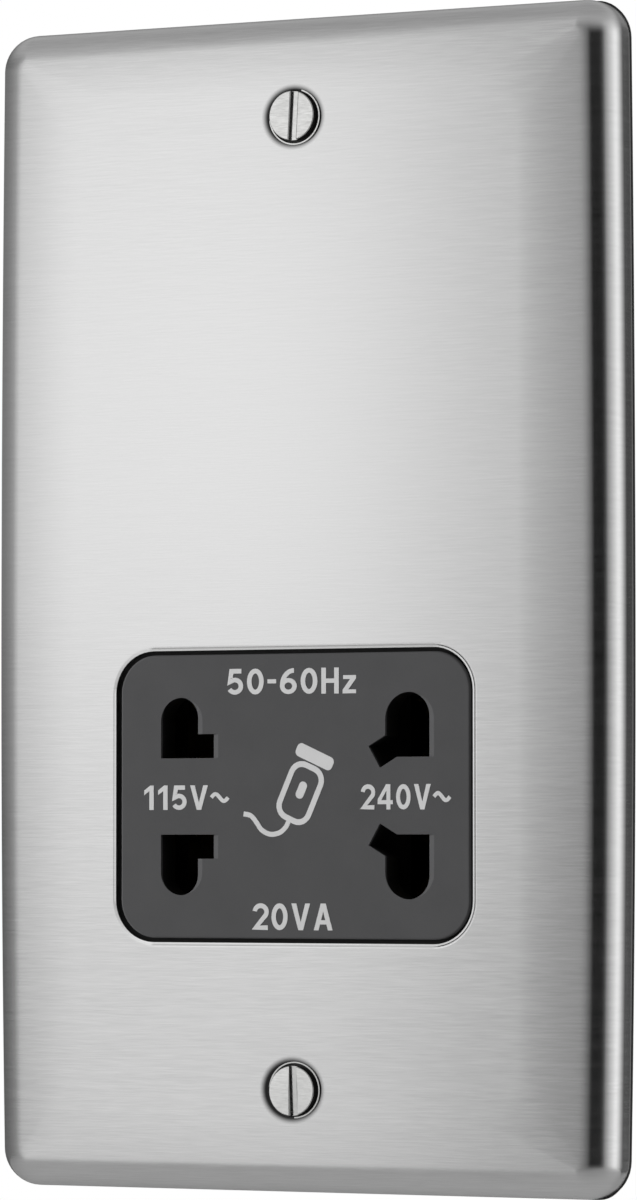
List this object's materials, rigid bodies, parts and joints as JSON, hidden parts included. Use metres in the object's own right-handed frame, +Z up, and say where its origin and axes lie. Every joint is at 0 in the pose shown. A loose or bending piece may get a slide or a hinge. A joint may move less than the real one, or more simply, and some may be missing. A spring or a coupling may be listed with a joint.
{
  "type": "shaver socket",
  "caption": "Wall shaver socket: brushed steel plate with rolled rim, dark insert with pin slots for either voltage, and an isolating transformer and plug interlock in a housing behind.",
  "frame": {"origin": "centre of the plate on the wall plane, midway between the fixing screws", "axes": "+Z up along the plate's length, +Y into the wall box, so the front faces -Y, and +X to the right from the front"},
  "size_m": [0.0862, 0.046, 0.1462],
  "materials": {
    "brushed_plate": "fine brushing from side to side",
    "screw_steel": "plated",
    "grey_moulding": "fine matt texture",
    "black_moulding": "matt",
    "white_moulding": "satin",
    "housing_moulding": "matt",
    "spring_steel": "rolled",
    "brass": "rolled",
    "laminations": "varnished",
    "copper": "enamelled wire"
  },
  "bodies": {
    "socket": {"front_plate": "brushed_plate", "fixing_screws": "screw_steel", "socket_insert": "grey_moulding", "mounting_frame": "black_moulding", "slider_spring_left": "spring_steel", "slider_spring_right": "spring_steel", "contact_carrier": "white_moulding", "contact_115_upper": "brass", "contact_115_lower": "brass", "contact_240_upper": "brass", "contact_240_lower": "brass", "carrier_screws": "screw_steel", "switch_block": "white_moulding", "switch_leaf_left": "brass", "switch_leaf_right": "brass", "switch_contacts": "brass", "core_e_stack": "laminations", "core_i_stack": "laminations", "bobbin": "white_moulding", "primary_winding": "copper", "secondary_winding": "copper", "thermal_cutout": "black_moulding", "rear_housing": "housing_moulding", "housing_screws": "screw_steel", "terminal_block": "white_moulding", "terminal_clamps": "brass", "terminal_screws": "screw_steel", "earth_strap": "brass"},
    "interlock": {"interlock_slider": "black_moulding"}
  },
  "joints": [
    {"name": "interlock_slide", "type": "slide", "parent": "socket", "child": "interlock", "axis": [1, 0, 0], "range_m": [-0.003, 0.003], "stiffness_N_per_m": 80, "deforming": ["slider_spring_left", "slider_spring_right", "switch_leaf_left", "switch_leaf_right"]}
  ]
}
